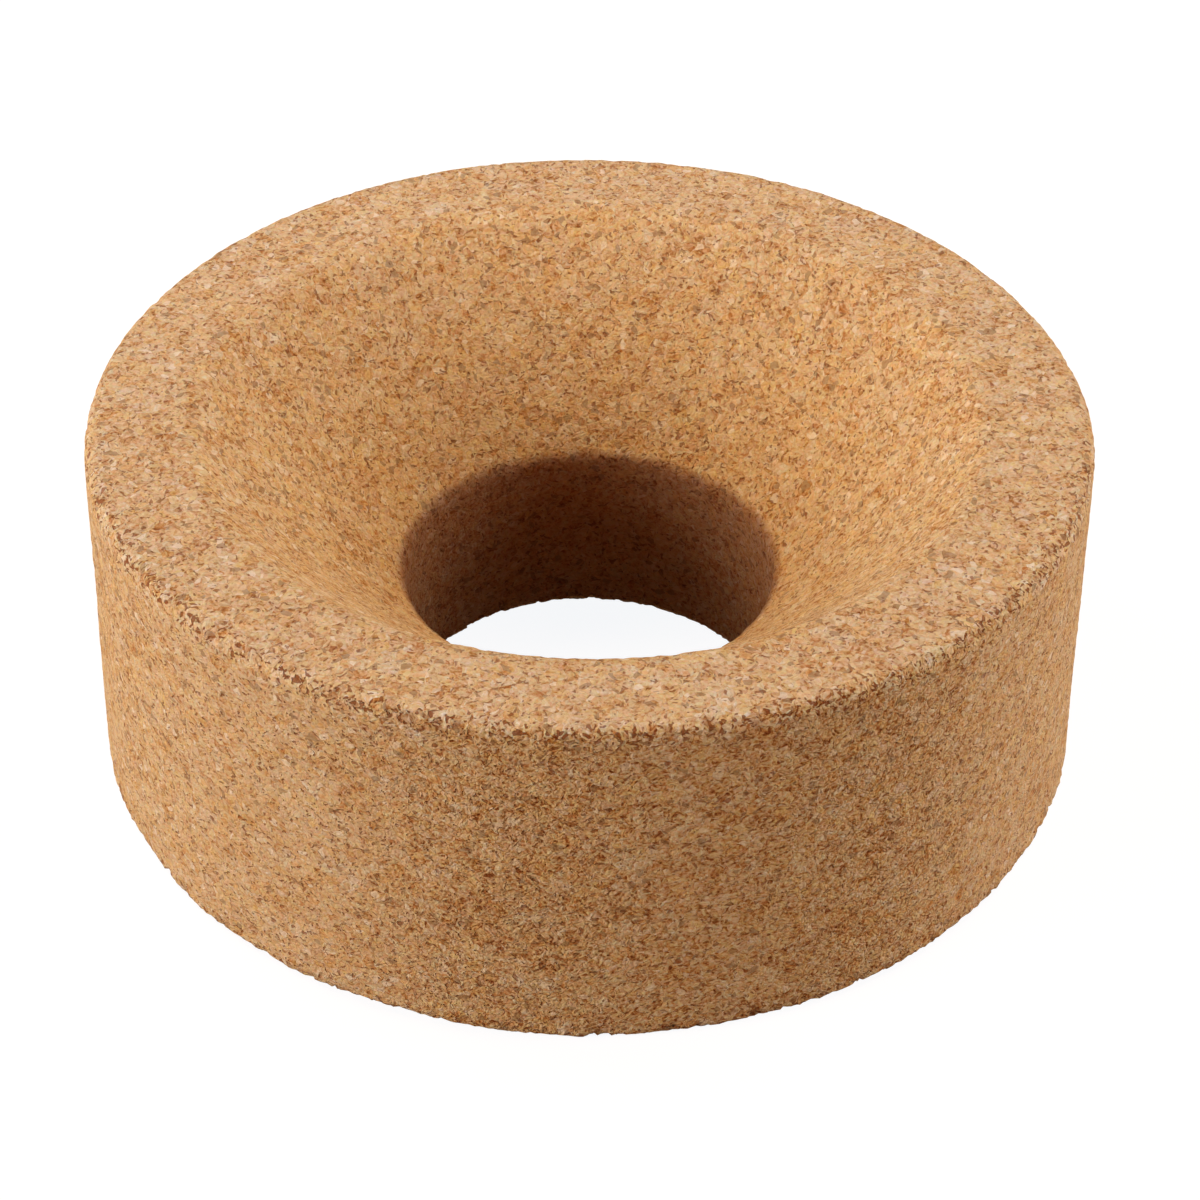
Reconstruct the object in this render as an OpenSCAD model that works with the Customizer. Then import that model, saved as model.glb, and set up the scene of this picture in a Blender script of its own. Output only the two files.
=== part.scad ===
// Flask ring of pressed cork granules.
//
// One turned piece: a short thick cylinder with a flat rim, a funnel that
// takes the round bottom of a flask, and a straight bore through its foot.
// Lengths are in millimetres. The origin is the centre of the foot, and +Z
// runs up along the bore.

/* [Ring] */
// Outer diameter
outer_d = 80; // [74:1:110]
// Height from foot to rim
height = 30; // [26:1:50]

/* [Bore] */
// Diameter of the straight bore
bore_d = 30; // [20:1:40]

/* [Funnel] */
// Diameter of the funnel where it meets the flat rim
mouth_d = 62.5; // [50:0.5:66]
// Depth of the funnel below the rim
funnel_depth = 15; // [10:0.5:20]

/* [Worn edges] */
// Radius of the rim's outer edge
rim_edge_r = 1.2; // [0.2:0.1:2]
// Radius of the foot's outer edge
foot_edge_r = 1.0; // [0.2:0.1:2]
// Radius of the soft edge between rim and funnel
mouth_edge_r = 2.5; // [0.2:0.1:4]
// Radius of the edge between funnel and bore
throat_edge_r = 1.2; // [0.2:0.1:3]
// Radius of the bore's lower edge
bore_foot_r = 0.5; // [0.2:0.1:1]

/* [Hidden] */
$fn = 144;

outer_r = outer_d / 2;
bore_r = bore_d / 2;
mouth_r = mouth_d / 2;
throat_z = height - funnel_depth;
hair = 0.0005;

// Corners of the section, as [distance from the axis, height].
foot_outer = [outer_r, 0];
rim_outer = [outer_r, height];
mouth = [mouth_r, height];
throat = [bore_r, throat_z];
bore_foot = [bore_r, 0];

function unit(v) = v / norm(v);

// What is worn off a sharp corner to leave an arc of the given radius. before
// and after are the corners that the section's sides run to on either side.
// The disc stands a hair proud of both sides, so its arc crosses them cleanly.
module corner_waste(before, corner, after, radius) {
    to_before = unit(before - corner);
    to_after = unit(after - corner);
    inwards = unit(to_before + to_after);
    half_angle = acos(to_before * to_after) / 2;
    disc_inset = radius - hair;
    disc_centre = corner + inwards * disc_inset / sin(half_angle);
    difference() {
        polygon([
            disc_centre,
            corner + to_before * disc_inset / tan(half_angle),
            corner - inwards * radius,
            corner + to_after * disc_inset / tan(half_angle)
        ]);
        translate(disc_centre) circle(r = radius);
    }
}

// Half of the ring's cross-section, right of the axis.
module section() {
    difference() {
        polygon([bore_foot, foot_outer, rim_outer, mouth, throat]);
        corner_waste(bore_foot, foot_outer, rim_outer, foot_edge_r);
        corner_waste(foot_outer, rim_outer, mouth, rim_edge_r);
        corner_waste(rim_outer, mouth, throat, mouth_edge_r);
        corner_waste(mouth, throat, bore_foot, throat_edge_r);
        corner_waste(throat, bore_foot, foot_outer, bore_foot_r);
    }
}

module cork_ring() {
    color("#c89c6b") rotate_extrude() section();
}

cork_ring();
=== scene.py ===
"""Looks of the cork flask ring: pressed granules, a crumbly rim edge and a pale studio.

Lengths are in metres. The ring stands on Z = 0, with its bore along Z.
"""

import math

import bmesh
import bpy
from mathutils import Euler, Matrix, Vector, noise


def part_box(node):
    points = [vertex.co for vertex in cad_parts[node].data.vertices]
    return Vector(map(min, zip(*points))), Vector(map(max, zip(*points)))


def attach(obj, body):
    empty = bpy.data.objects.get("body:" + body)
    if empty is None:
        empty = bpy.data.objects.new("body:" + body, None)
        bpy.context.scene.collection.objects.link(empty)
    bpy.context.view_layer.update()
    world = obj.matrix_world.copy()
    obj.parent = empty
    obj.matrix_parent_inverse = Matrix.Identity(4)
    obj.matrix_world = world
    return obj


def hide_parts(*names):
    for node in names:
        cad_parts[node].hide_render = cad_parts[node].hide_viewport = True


MM = 0.001

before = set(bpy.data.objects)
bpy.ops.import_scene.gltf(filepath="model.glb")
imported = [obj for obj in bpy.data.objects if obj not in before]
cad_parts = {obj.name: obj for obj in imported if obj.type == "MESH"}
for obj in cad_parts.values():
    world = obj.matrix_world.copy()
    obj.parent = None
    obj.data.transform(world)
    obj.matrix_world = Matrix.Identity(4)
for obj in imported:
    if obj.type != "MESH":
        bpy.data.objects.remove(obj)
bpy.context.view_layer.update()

# --- The ring's section ------------------------------------------------------
FOOT_CORNER, RIM_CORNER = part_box("cork_ring")
OUTER_RADIUS = RIM_CORNER[0]
HEIGHT = RIM_CORNER[2]
BORE_RADIUS = 15 * MM
MOUTH_RADIUS = 31.25 * MM
FUNNEL_DEPTH = 15 * MM
HAIR = 0.01 * MM

# The section's corners, each with the radius its edge is worn to and the
# number of segments in that arc.
CORNERS = [
    (OUTER_RADIUS, 0, 1.0 * MM, 6),
    (OUTER_RADIUS, HEIGHT, 1.2 * MM, 8),
    (MOUTH_RADIUS, HEIGHT, 2.5 * MM, 5),
    (BORE_RADIUS, HEIGHT - FUNNEL_DEPTH, 1.2 * MM, 4),
    (BORE_RADIUS, 0, 0.5 * MM, 3),
]

# How many steps the section turns through, and how far apart its rings of
# points lie: on the sides in view, in the bore and under the foot.
TURN_STEPS = 690
SEEN_SPACING = 0.58 * MM
BORE_SPACING = 1.1 * MM
FOOT_SPACING = 2.6 * MM

# --- Relief of the cork ------------------------------------------------------
# The granules are pressed this much flatter than they are wide.
PRESSED = 1.2
GRANULE_SIZE = 1.3 * MM
GRANULE_RELIEF = 0.07 * MM
GRAIN_SIZE = 0.6 * MM
GRAIN_RELIEF = 0.05 * MM
SWELL_SIZE = 11 * MM
SWELL_RELIEF = 0.07 * MM
CRUMB_SIZE = 0.8 * MM
RAGGED_SIZE = 0.45 * MM
GRANULE_SEED = 3.0
CRUMB_SEED = 11.0

# How deep each edge crumbles, and how far from the edge that reaches.
RIM_CRUMBLE = 0.24 * MM
RIM_CRUMBLE_REACH = 0.78 * MM
FOOT_CRUMBLE = 0.36 * MM
FOOT_CRUMBLE_REACH = 0.8 * MM
BORE_CRUMBLE = 0.30 * MM
BORE_CRUMBLE_REACH = 0.6 * MM
# The rim's edge crumbles this share as much at the back. No edge crumbles
# where it meets the bench, and the full depth starts this far above it.
FAR_SIDE_CRUMBLE = 0.25
FLAT_FOOT = 0.15 * MM

# Knocks in the foot's edge and one bulge: the turn round the ring, the half
# width along the edge and the depth of each, which is negative for the bulge.
KNOCKS = [
    (-151, 5 * MM, 0.28 * MM),
    (-92, 9 * MM, -0.13 * MM),
    (-130, 2 * MM, 0.15 * MM),
    (-110, 2 * MM, 0.12 * MM),
    (-43, 4 * MM, 0.12 * MM),
    (-29, 5 * MM, 0.20 * MM),
]
KNOCK_HEIGHT = 4 * MM

# The rim's edge is fuller at the back, by this much.
BACK_FULLNESS = 0.14 * MM
BACK_FULLNESS_REACH = 1.0 * MM

# The wall is coarser towards this side of the ring, and painted shade makes it darker and more golden
# there, with darker pits.
COARSE_SHADED_TURN = math.radians(-78)
COARSE_SHADED_SIDE = (math.cos(COARSE_SHADED_TURN), math.sin(COARSE_SHADED_TURN), 0)


def side_spacing(middle):
    """How far apart the rings of points lie on the side of the section through this point."""
    if middle.z < HAIR:
        return FOOT_SPACING
    if middle.x < BORE_RADIUS + HAIR:
        return BORE_SPACING
    return SEEN_SPACING


def worn_section():
    """Half of the ring's section as a closed line of edges, its corners worn round."""
    section = bmesh.new()
    corners = [section.verts.new((radius, 0, height)) for radius, height, _, _ in CORNERS]
    for start, end in zip(corners, corners[1:] + corners[:1]):
        section.edges.new((start, end))
    for corner, (_, _, worn_radius, segments) in zip(corners, CORNERS):
        one_side, other_side = [e.other_vert(corner).co - corner.co for e in corner.link_edges]
        setback = worn_radius / math.tan(one_side.angle(other_side) / 2)
        bmesh.ops.bevel(
            section, geom=[corner], offset=setback, offset_type="OFFSET",
            affect="VERTICES", segments=segments, profile=0.5, material=-1,
        )
    sides = sorted(section.edges, key=lambda e: e.calc_length())[-len(CORNERS):]
    for side in sides:
        middle = (side.verts[0].co + side.verts[1].co) / 2
        cuts = round(side.calc_length() / side_spacing(middle)) - 1
        bmesh.ops.subdivide_edges(section, edges=[side], cuts=cuts)
    return section


def smooth_step(low, high, value):
    share = min(max((value - low) / (high - low), 0), 1)
    return share * share * (3 - 2 * share)


def granule(place, size, seed):
    """A granule's own random number at this place, and how deep inside the granule it lies."""
    spot = place / size + Vector((seed, seed * 1.7, seed * 2.3))
    distances, centres = noise.voronoi(spot)
    own = noise.cell(centres[0] * 7.31 + Vector((seed, seed, seed)))
    return own, distances[1] - distances[0]


def edge_share(point, radius, height, reach):
    """How far a point belongs to the worn edge at this radius and height, from 0 to 1."""
    across = radius - math.hypot(point.x, point.y)
    away = math.hypot(across, point.z - height)
    return math.exp(-((away / reach) ** 2) / 2)


def knocked(point):
    """How far the knocks push the wall in here, or the bulge out where it is negative."""
    around = math.atan2(point.y, point.x)
    out = smooth_step(OUTER_RADIUS - 2 * MM, OUTER_RADIUS, math.hypot(point.x, point.y))
    pushed = 0
    for turn, half_width, depth in KNOCKS:
        along = OUTER_RADIUS * (around - math.radians(turn))
        pushed += depth * math.exp(-((along / half_width) ** 2) - (point.z / KNOCK_HEIGHT) ** 2)
    return pushed * out


def relief(point):
    """How far the cork stands proud of the plain ring here, how crumbly it is, and how torn, with
    painted shade in the torn pits.
    """
    place = Vector((point.x, point.y, point.z * PRESSED))
    own, inside = granule(place, GRANULE_SIZE, GRANULE_SEED)
    proud = GRANULE_RELIEF * (own - 0.5) * smooth_step(0, 0.35, inside)
    proud += GRAIN_RELIEF * noise.noise(place / GRAIN_SIZE)
    proud += SWELL_RELIEF * noise.noise(place / SWELL_SIZE) - knocked(point)
    back_edge = edge_share(point, OUTER_RADIUS, HEIGHT, BACK_FULLNESS_REACH)
    proud += BACK_FULLNESS * back_edge * smooth_step(20 * MM, 40 * MM, point.y)
    worn = FAR_SIDE_CRUMBLE + (1 - FAR_SIDE_CRUMBLE) * smooth_step(8 * MM, -22 * MM, point.y)
    rim_share = worn * edge_share(point, OUTER_RADIUS, HEIGHT, RIM_CRUMBLE_REACH)
    off_floor = smooth_step(0, FLAT_FOOT, point.z)
    foot_share = off_floor * edge_share(point, OUTER_RADIUS, 0, FOOT_CRUMBLE_REACH)
    bore_share = off_floor * edge_share(point, BORE_RADIUS, 0, BORE_CRUMBLE_REACH)
    depth = RIM_CRUMBLE * rim_share + FOOT_CRUMBLE * foot_share + BORE_CRUMBLE * bore_share
    torn_and_pit_shade = 0
    if depth > HAIR:
        lost, inside = granule(place, CRUMB_SIZE, CRUMB_SEED)
        gone = smooth_step(0.45, 0.7, lost) * smooth_step(0, 0.25, inside)
        ragged = 0.5 * noise.noise(place / RAGGED_SIZE)
        proud += depth * (ragged - gone)
        # Where crumbs are gone the torn mark is also painted shade in the pits.
        torn_and_pit_shade = gone * max(rim_share, foot_share)
    return proud, rim_share + 0.5 * foot_share, torn_and_pit_shade


def cork_ring_body():
    ring = worn_section()
    bmesh.ops.spin(
        ring, geom=ring.verts[:] + ring.edges[:], cent=(0, 0, 0), axis=(0, 0, 1),
        dvec=(0, 0, 0), angle=math.tau, steps=TURN_STEPS, use_merge=True, use_duplicate=False,
    )
    bmesh.ops.recalc_face_normals(ring, faces=ring.faces)
    ring.normal_update()
    crumbly_layer = ring.verts.layers.float.new("crumbly")
    torn_and_pit_shade_layer = ring.verts.layers.float.new("torn_and_pit_shade")
    moves = []
    for vert in ring.verts:
        proud, crumbly, torn_and_pit_shade = relief(vert.co)
        moves.append(vert.co + vert.normal * proud)
        vert[crumbly_layer] = crumbly
        vert[torn_and_pit_shade_layer] = torn_and_pit_shade
    for vert, place in zip(ring.verts, moves):
        vert.co = place
        vert.co.z = max(vert.co.z, 0)
    for face in ring.faces:
        face.smooth = True
    mesh = bpy.data.meshes.new("cork_ring_body")
    ring.to_mesh(mesh)
    ring.free()
    body = bpy.data.objects.new("cork_ring_body", mesh)
    bpy.context.scene.collection.objects.link(body)
    return body


# --- Cork --------------------------------------------------------------------
WHITE = (1, 1, 1, 1)
CORK_TONES = [
    (0.00, (0.170, 0.035, 0.006)),
    (0.25, (0.430, 0.170, 0.048)),
    (0.50, (0.615, 0.350, 0.155)),
    (0.75, (0.690, 0.450, 0.230)),
    (1.00, (0.760, 0.560, 0.350)),
]
ORANGE_SHRED = (1.05, 0.95, 0.70, 1)
PALE_SHRED = (0.96, 1.02, 1.22, 1)
YELLOW_FLECK = (0.96, 1.05, 0.97, 1)
RED_FLECK = (1.04, 0.96, 0.98, 1)
BARK = (0.27, 0.140, 0.060, 1)
PALE_FLAKE = (0.84, 0.64, 0.42, 1)
HOLE_PORE_AND_SHADE = (0.22, 0.045, 0.008, 1)
TORN_CORK_AND_PIT_SHADE = (0.36, 0.125, 0.035, 1)
FRONT_PAINTED_SHADE = (0.94, 0.90, 0.80, 1)

# Tints by millimetres from the axis, all painted light: the flat faces are paler as painted sheen, the
# funnel more orange towards its throat as painted shade, and the bore darker and redder as painted
# shade.
SHADE_AND_SHEEN_TINTS = [
    (15.25, (0.52, 0.38, 0.34)),
    (15.80, (0.97, 0.87, 0.72)),
    (22.00, (1.00, 0.95, 0.87)),
    (31.00, (1.00, 0.99, 1.01)),
    (33.00, (1.00, 1.02, 1.17)),
    (38.80, (1.00, 1.02, 1.17)),
    (39.70, (0.96, 0.98, 1.07)),
]
TINT_REACH = 41.0
# The foot is tinted as the rim is at this radius.
FLAT_FACE_RADIUS = 36
BUMP_HEIGHT = 0.12 * MM
SHEEN = 0.06


def add_node(tree, kind, wires=None, **settings):
    """A new node with these settings; wires gives its inputs a value or another node's output."""
    made = tree.nodes.new(kind)
    for name, value in settings.items():
        setattr(made, name, value)
    for name, value in (wires or {}).items():
        if isinstance(value, bpy.types.NodeSocket):
            tree.links.new(value, made.inputs[name])
        else:
            made.inputs[name].default_value = value
    return made


def maths(tree, operation, first, second=0.0, third=0.0):
    wires = {0: first, 1: second, 2: third}
    return add_node(tree, "ShaderNodeMath", wires, operation=operation).outputs[0]


def vector_maths(tree, operation, first, second=None, third=None, scale=None):
    made = add_node(tree, "ShaderNodeVectorMath", operation=operation)
    for socket, value in zip((0, 1, 2, "Scale"), (first, second, third, scale)):
        if isinstance(value, bpy.types.NodeSocket):
            tree.links.new(value, made.inputs[socket])
        elif value is not None:
            made.inputs[socket].default_value = value
    return made.outputs[0]


def split(tree, colour):
    """The three numbers in a colour."""
    return add_node(tree, "ShaderNodeSeparateColor", {0: colour}).outputs[:]


def summed(tree, middle, parts):
    """The sum of each part times its weight, moved so that parts of 0.5 give the middle."""
    total = middle - sum(weight for _, weight in parts) / 2
    for part, weight in parts:
        total = maths(tree, "MULTIPLY_ADD", part, weight, total)
    return total


def between(tree, value, low, high, to_low=0.0, to_high=1.0):
    """The value's smooth passage from low to high, as a number from to_low to to_high."""
    wires = {"Value": value, "From Min": low, "From Max": high, "To Min": to_low, "To Max": to_high}
    return add_node(tree, "ShaderNodeMapRange", wires, interpolation_type="SMOOTHSTEP").outputs[0]


def mixed(tree, share, under, over):
    return add_node(tree, "ShaderNodeMix", {0: share, 6: under, 7: over}, data_type="RGBA").outputs[2]


def multiplied(tree, colour, tint):
    wires = {0: 1.0, 6: colour, 7: tint}
    return add_node(tree, "ShaderNodeMix", wires, data_type="RGBA", blend_type="MULTIPLY").outputs[2]


def ramp(tree, value, stops):
    """The colour that the stops, pairs of a position and a colour, give at this value."""
    made = add_node(tree, "ShaderNodeValToRGB", {"Fac": value})
    elements = made.color_ramp.elements
    while len(elements) < len(stops):
        elements.new(0.5)
    for element, (position, colour) in zip(elements, stops):
        element.position = position
        element.color = (*colour, 1)
    return made.outputs[0]


def noise_at(tree, place, scale, detail=2.0, roughness=0.5):
    wires = {"Vector": place, "Scale": scale, "Detail": detail, "Roughness": roughness}
    return add_node(tree, "ShaderNodeTexNoise", wires)


def cells_at(tree, place, scale):
    return add_node(tree, "ShaderNodeTexVoronoi", {"Vector": place, "Scale": scale})


def cork():
    material = bpy.data.materials.new("pressed_cork")
    material.use_nodes = True
    tree = material.node_tree
    shader = tree.nodes["Principled BSDF"]

    # Millimetres, bent a little so that no granule has straight sides.
    where = add_node(tree, "ShaderNodeTexCoord").outputs["Object"]
    scale = (1 / MM, 1 / MM, PRESSED / MM)
    place = add_node(tree, "ShaderNodeMapping", {"Vector": where, "Scale": scale}).outputs[0]
    drift = noise_at(tree, place, 1.3, 0.0).outputs["Color"]
    bent = vector_maths(tree, "MULTIPLY_ADD", drift, (0.4, 0.4, 0.4), place)

    # How far from the bore's axis, with the foot counted as the rim is.
    flat = vector_maths(tree, "MULTIPLY", where, (1 / MM, 1 / MM, 0))
    radius = add_node(tree, "ShaderNodeVectorMath", {0: flat}, operation="LENGTH").outputs["Value"]
    above = add_node(tree, "ShaderNodeSeparateXYZ", {0: where}).outputs["Z"]
    underside = between(tree, above, 0.5 * MM, 0.2 * MM, 0, FLAT_FACE_RADIUS)
    radius = maths(tree, "MAXIMUM", radius, underside)
    wall = between(tree, radius, 39.0, 39.7)
    side = add_node(tree, "ShaderNodeVectorMath", {0: where, 1: COARSE_SHADED_SIDE}, operation="DOT_PRODUCT")
    coarse_shaded = between(tree, side.outputs["Value"], 29 * MM, 39 * MM)
    coarse_shaded = maths(tree, "MULTIPLY", coarse_shaded, wall)
    crumbly = add_node(tree, "ShaderNodeAttribute", attribute_name="crumbly").outputs["Fac"]
    torn_and_pit_shade = add_node(tree, "ShaderNodeAttribute", attribute_name="torn_and_pit_shade").outputs["Fac"]

    # Granules, each with its own grain direction and its own shreds along it.
    granules = cells_at(tree, bent, 0.85).outputs["Color"]
    granule_tone, _, granule_hue = split(tree, granules)
    turn = vector_maths(tree, "SCALE", granules, scale=math.tau)
    along = add_node(
        tree, "ShaderNodeVectorRotate", {"Vector": bent, "Rotation": turn},
        rotation_type="EULER_XYZ",
    ).outputs[0]
    along = vector_maths(tree, "MULTIPLY", along, (0.77, 0.97, 0.97))
    shreds = cells_at(tree, along, 1.9).outputs["Color"]
    shred_tone, shred_level, shred_hue = split(tree, shreds)
    flecks = cells_at(tree, along, 3.8).outputs
    fleck_tone, fleck_red, fleck_hue = split(tree, flecks["Color"])
    grain = noise_at(tree, along, 4.2, 1.5, 0.6).outputs["Fac"]
    holes = noise_at(tree, along, 2.4, 1.0, 0.6).outputs["Fac"]
    patches = noise_at(tree, place, 0.25, 2.0).outputs["Fac"]
    more_holes = maths(tree, "MULTIPLY_ADD", crumbly, 0.09, 0.375)
    hole = between(tree, holes, more_holes, maths(tree, "SUBTRACT", more_holes, 0.06))

    height = summed(tree, 0.5, [(grain, 1.00), (flecks["Distance"], -0.55)])
    height = maths(tree, "MULTIPLY_ADD", hole, -0.8, height)
    rougher = maths(tree, "MULTIPLY_ADD", coarse_shaded, 0.35, maths(tree, "MULTIPLY_ADD", crumbly, 0.3, 1.0))
    height = maths(tree, "MULTIPLY", height, rougher)

    contrast = maths(tree, "MULTIPLY_ADD", wall, -0.2, maths(tree, "MULTIPLY_ADD", crumbly, 0.5, 1.0))
    tone = summed(tree, 0.0, [(granule_tone, 0.19), (shred_tone, 0.25), (patches, 0.24)])
    lift = maths(tree, "MULTIPLY_ADD", crumbly, 0.09, 0.535)
    # Towards the coarse side the tone swings wider, its darker pits painted shade.
    tone = maths(tree, "MULTIPLY_ADD", tone, maths(tree, "MULTIPLY_ADD", coarse_shaded, 0.25, contrast), lift)
    fine_tone = summed(tree, 0.0, [(fleck_tone, 0.25), (grain, 0.69)])
    tone = maths(
        tree, "MULTIPLY_ADD", fine_tone, maths(tree, "MULTIPLY_ADD", coarse_shaded, 1.0, contrast), tone
    )
    colour = ramp(tree, tone, CORK_TONES)

    # Some shreds are more orange and some paler, some flecks yellower and some redder.
    hue = summed(tree, 0.5, [(granule_hue, 0.4), (shred_hue, 0.4), (fleck_hue, 0.5)])
    colour = multiplied(tree, colour, mixed(tree, hue, ORANGE_SHRED, PALE_SHRED))
    reddish = mixed(tree, fleck_red, YELLOW_FLECK, RED_FLECK)
    colour = multiplied(tree, colour, reddish)

    # Bark specks, pale flakes, and the dark of the holes, partly the cork's own dark pores and partly
    # painted shade in them.
    bark = between(tree, shred_level, 0.945, 0.95)
    colour = mixed(tree, maths(tree, "MULTIPLY", bark, 0.6), colour, BARK)
    pale = between(tree, shred_level, 0.03, 0.025)
    colour = mixed(tree, maths(tree, "MULTIPLY", pale, 0.5), colour, PALE_FLAKE)
    hole_pore_and_shade = maths(tree, "MULTIPLY", hole, maths(tree, "MULTIPLY_ADD", crumbly, 0.25, 0.65))
    colour = mixed(tree, hole_pore_and_shade, colour, HOLE_PORE_AND_SHADE)
    # Torn cork where crumbs are gone from an edge, its dark partly painted shade in the pits.
    colour = mixed(tree, maths(tree, "MULTIPLY", torn_and_pit_shade, 0.75), colour, TORN_CORK_AND_PIT_SHADE)
    tints = [(at / TINT_REACH, tint) for at, tint in SHADE_AND_SHEEN_TINTS]
    shade_and_sheen_tint = ramp(tree, maths(tree, "DIVIDE", radius, TINT_REACH), tints)
    colour = multiplied(tree, colour, shade_and_sheen_tint)
    # The coarse side is darker and more golden: painted shade.
    colour = multiplied(tree, colour, mixed(tree, coarse_shaded, WHITE, FRONT_PAINTED_SHADE))
    tree.links.new(colour, shader.inputs["Base Color"])

    wires = {"Strength": 1.0, "Distance": BUMP_HEIGHT, "Height": height}
    bump = add_node(tree, "ShaderNodeBump", wires)
    tree.links.new(bump.outputs[0], shader.inputs["Normal"])
    rough = between(tree, grain, 0.3, 0.7, 0.95, 0.80)
    tree.links.new(rough, shader.inputs["Roughness"])
    shader.inputs["Specular IOR Level"].default_value = SHEEN
    return material


# --- Studio ------------------------------------------------------------------
# The floor lies a hair below the foot, so that the two don't share a plane.
UNDER_FOOT = 0.02 * MM
FLOOR_REACH = 3
FLOOR_TONE = (0.20, 0.14, 0.09)
FLOOR_GLOW = (0.90, 0.92, 0.94, 1)
FLOOR_BOUNCE = (0.06, 0.05, 0.04, 1)
FILL = (0.022, 0.019, 0.016, 1)


def pale_floor():
    floor_mesh = bmesh.new()
    bmesh.ops.create_grid(floor_mesh, x_segments=1, y_segments=1, size=FLOOR_REACH)
    mesh = bpy.data.meshes.new("studio_floor")
    floor_mesh.to_mesh(mesh)
    floor_mesh.free()
    floor = bpy.data.objects.new("studio_floor", mesh)
    floor.location.z = -UNDER_FOOT
    bpy.context.scene.collection.objects.link(floor)
    material = bpy.data.materials.new("pale_floor")
    material.use_nodes = True
    tree = material.node_tree
    shader = tree.nodes["Principled BSDF"]
    shader.inputs["Base Color"].default_value = (*FLOOR_TONE, 1)
    shader.inputs["Roughness"].default_value = 1
    shader.inputs["Specular IOR Level"].default_value = 0
    shader.inputs["Emission Strength"].default_value = 1
    glow = mixed(tree, seen_directly(tree), FLOOR_BOUNCE, FLOOR_GLOW)
    tree.links.new(glow, shader.inputs["Emission Color"])
    mesh.materials.append(material)
    return floor


def seen_directly(tree):
    """1 for rays from the camera and for its mirror and glass rays, otherwise 0."""
    path = add_node(tree, "ShaderNodeLightPath").outputs
    seen = maths(tree, "MAXIMUM", path["Is Camera Ray"], path["Is Glossy Ray"])
    return maths(tree, "MAXIMUM", seen, path["Is Transmission Ray"])


def white_surroundings():
    world = bpy.data.worlds.new("surroundings")
    world.use_nodes = True
    tree = world.node_tree
    light = tree.nodes["Background"]
    light.inputs["Strength"].default_value = 1
    tree.links.new(mixed(tree, seen_directly(tree), FILL, WHITE), light.inputs["Color"])
    bpy.context.scene.world = world


def softbox(name, azimuth, elevation, distance, width, power, colour=(1, 1, 1)):
    lamp = bpy.data.lights.new(name, "AREA")
    lamp.shape = "SQUARE"
    lamp.size = width
    lamp.energy = power
    lamp.color = colour
    holder = bpy.data.objects.new(name, lamp)
    bpy.context.scene.collection.objects.link(holder)
    turn = math.radians(azimuth)
    lift = math.radians(elevation)
    away = Vector((math.cos(turn) * math.cos(lift), math.sin(turn) * math.cos(lift), math.sin(lift)))
    holder.location = away * distance + Vector((0, 0, HEIGHT / 2))
    holder.rotation_euler = (-away).to_track_quat("-Z", "Y").to_euler()


WARM = (1.0, 0.25, 0.05)
# Each lamp's turn and lift in degrees, its distance and width, its power, and
# its colour where it isn't white.
SOFTBOXES = [
    ("left_softbox", 208, 15, 0.8, 0.4, 6.1),
    ("right_softbox", -8, 15, 0.8, 0.4, 4.65),
    ("back_left_softbox", 150, 50, 0.4, 0.2, 0.86),
    ("back_right_softbox", 30, 50, 0.4, 0.2, 0.63),
    ("warm_card", 285, 10, 0.8, 0.6, 0.58, WARM),
]

# --- Camera ------------------------------------------------------------------
CAMERA_DISTANCE = 316.36 * MM
CAMERA_ELEVATION = 36.765
LENS = 116.067
SENSOR = 36
# Degrees that the camera looks aside, up and rolls from the ring's middle.
AIM = (-0.1670, -0.5016, 0.40)


def studio_camera():
    data = bpy.data.cameras.new("camera")
    data.sensor_width = SENSOR
    data.lens = LENS
    camera = bpy.data.objects.new("camera", data)
    bpy.context.scene.collection.objects.link(camera)
    lift = math.radians(CAMERA_ELEVATION)
    away = Vector((0, -math.cos(lift), math.sin(lift)))
    facing = (-away).to_track_quat("-Z", "Y").to_matrix()
    aside, up, roll = (math.radians(angle) for angle in AIM)
    facing = facing @ Euler((up, aside, roll)).to_matrix()
    camera.matrix_world = Matrix.LocRotScale(
        away * CAMERA_DISTANCE + Vector((0, 0, HEIGHT / 2)), facing.to_quaternion(), None
    )
    bpy.context.scene.camera = camera


body = cork_ring_body()
body.data.materials.append(cork())
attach(body, "root")
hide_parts("cork_ring")

pale_floor()
white_surroundings()
for softbox_facts in SOFTBOXES:
    softbox(*softbox_facts)
studio_camera()
bpy.context.scene.view_settings.view_transform = "Standard"
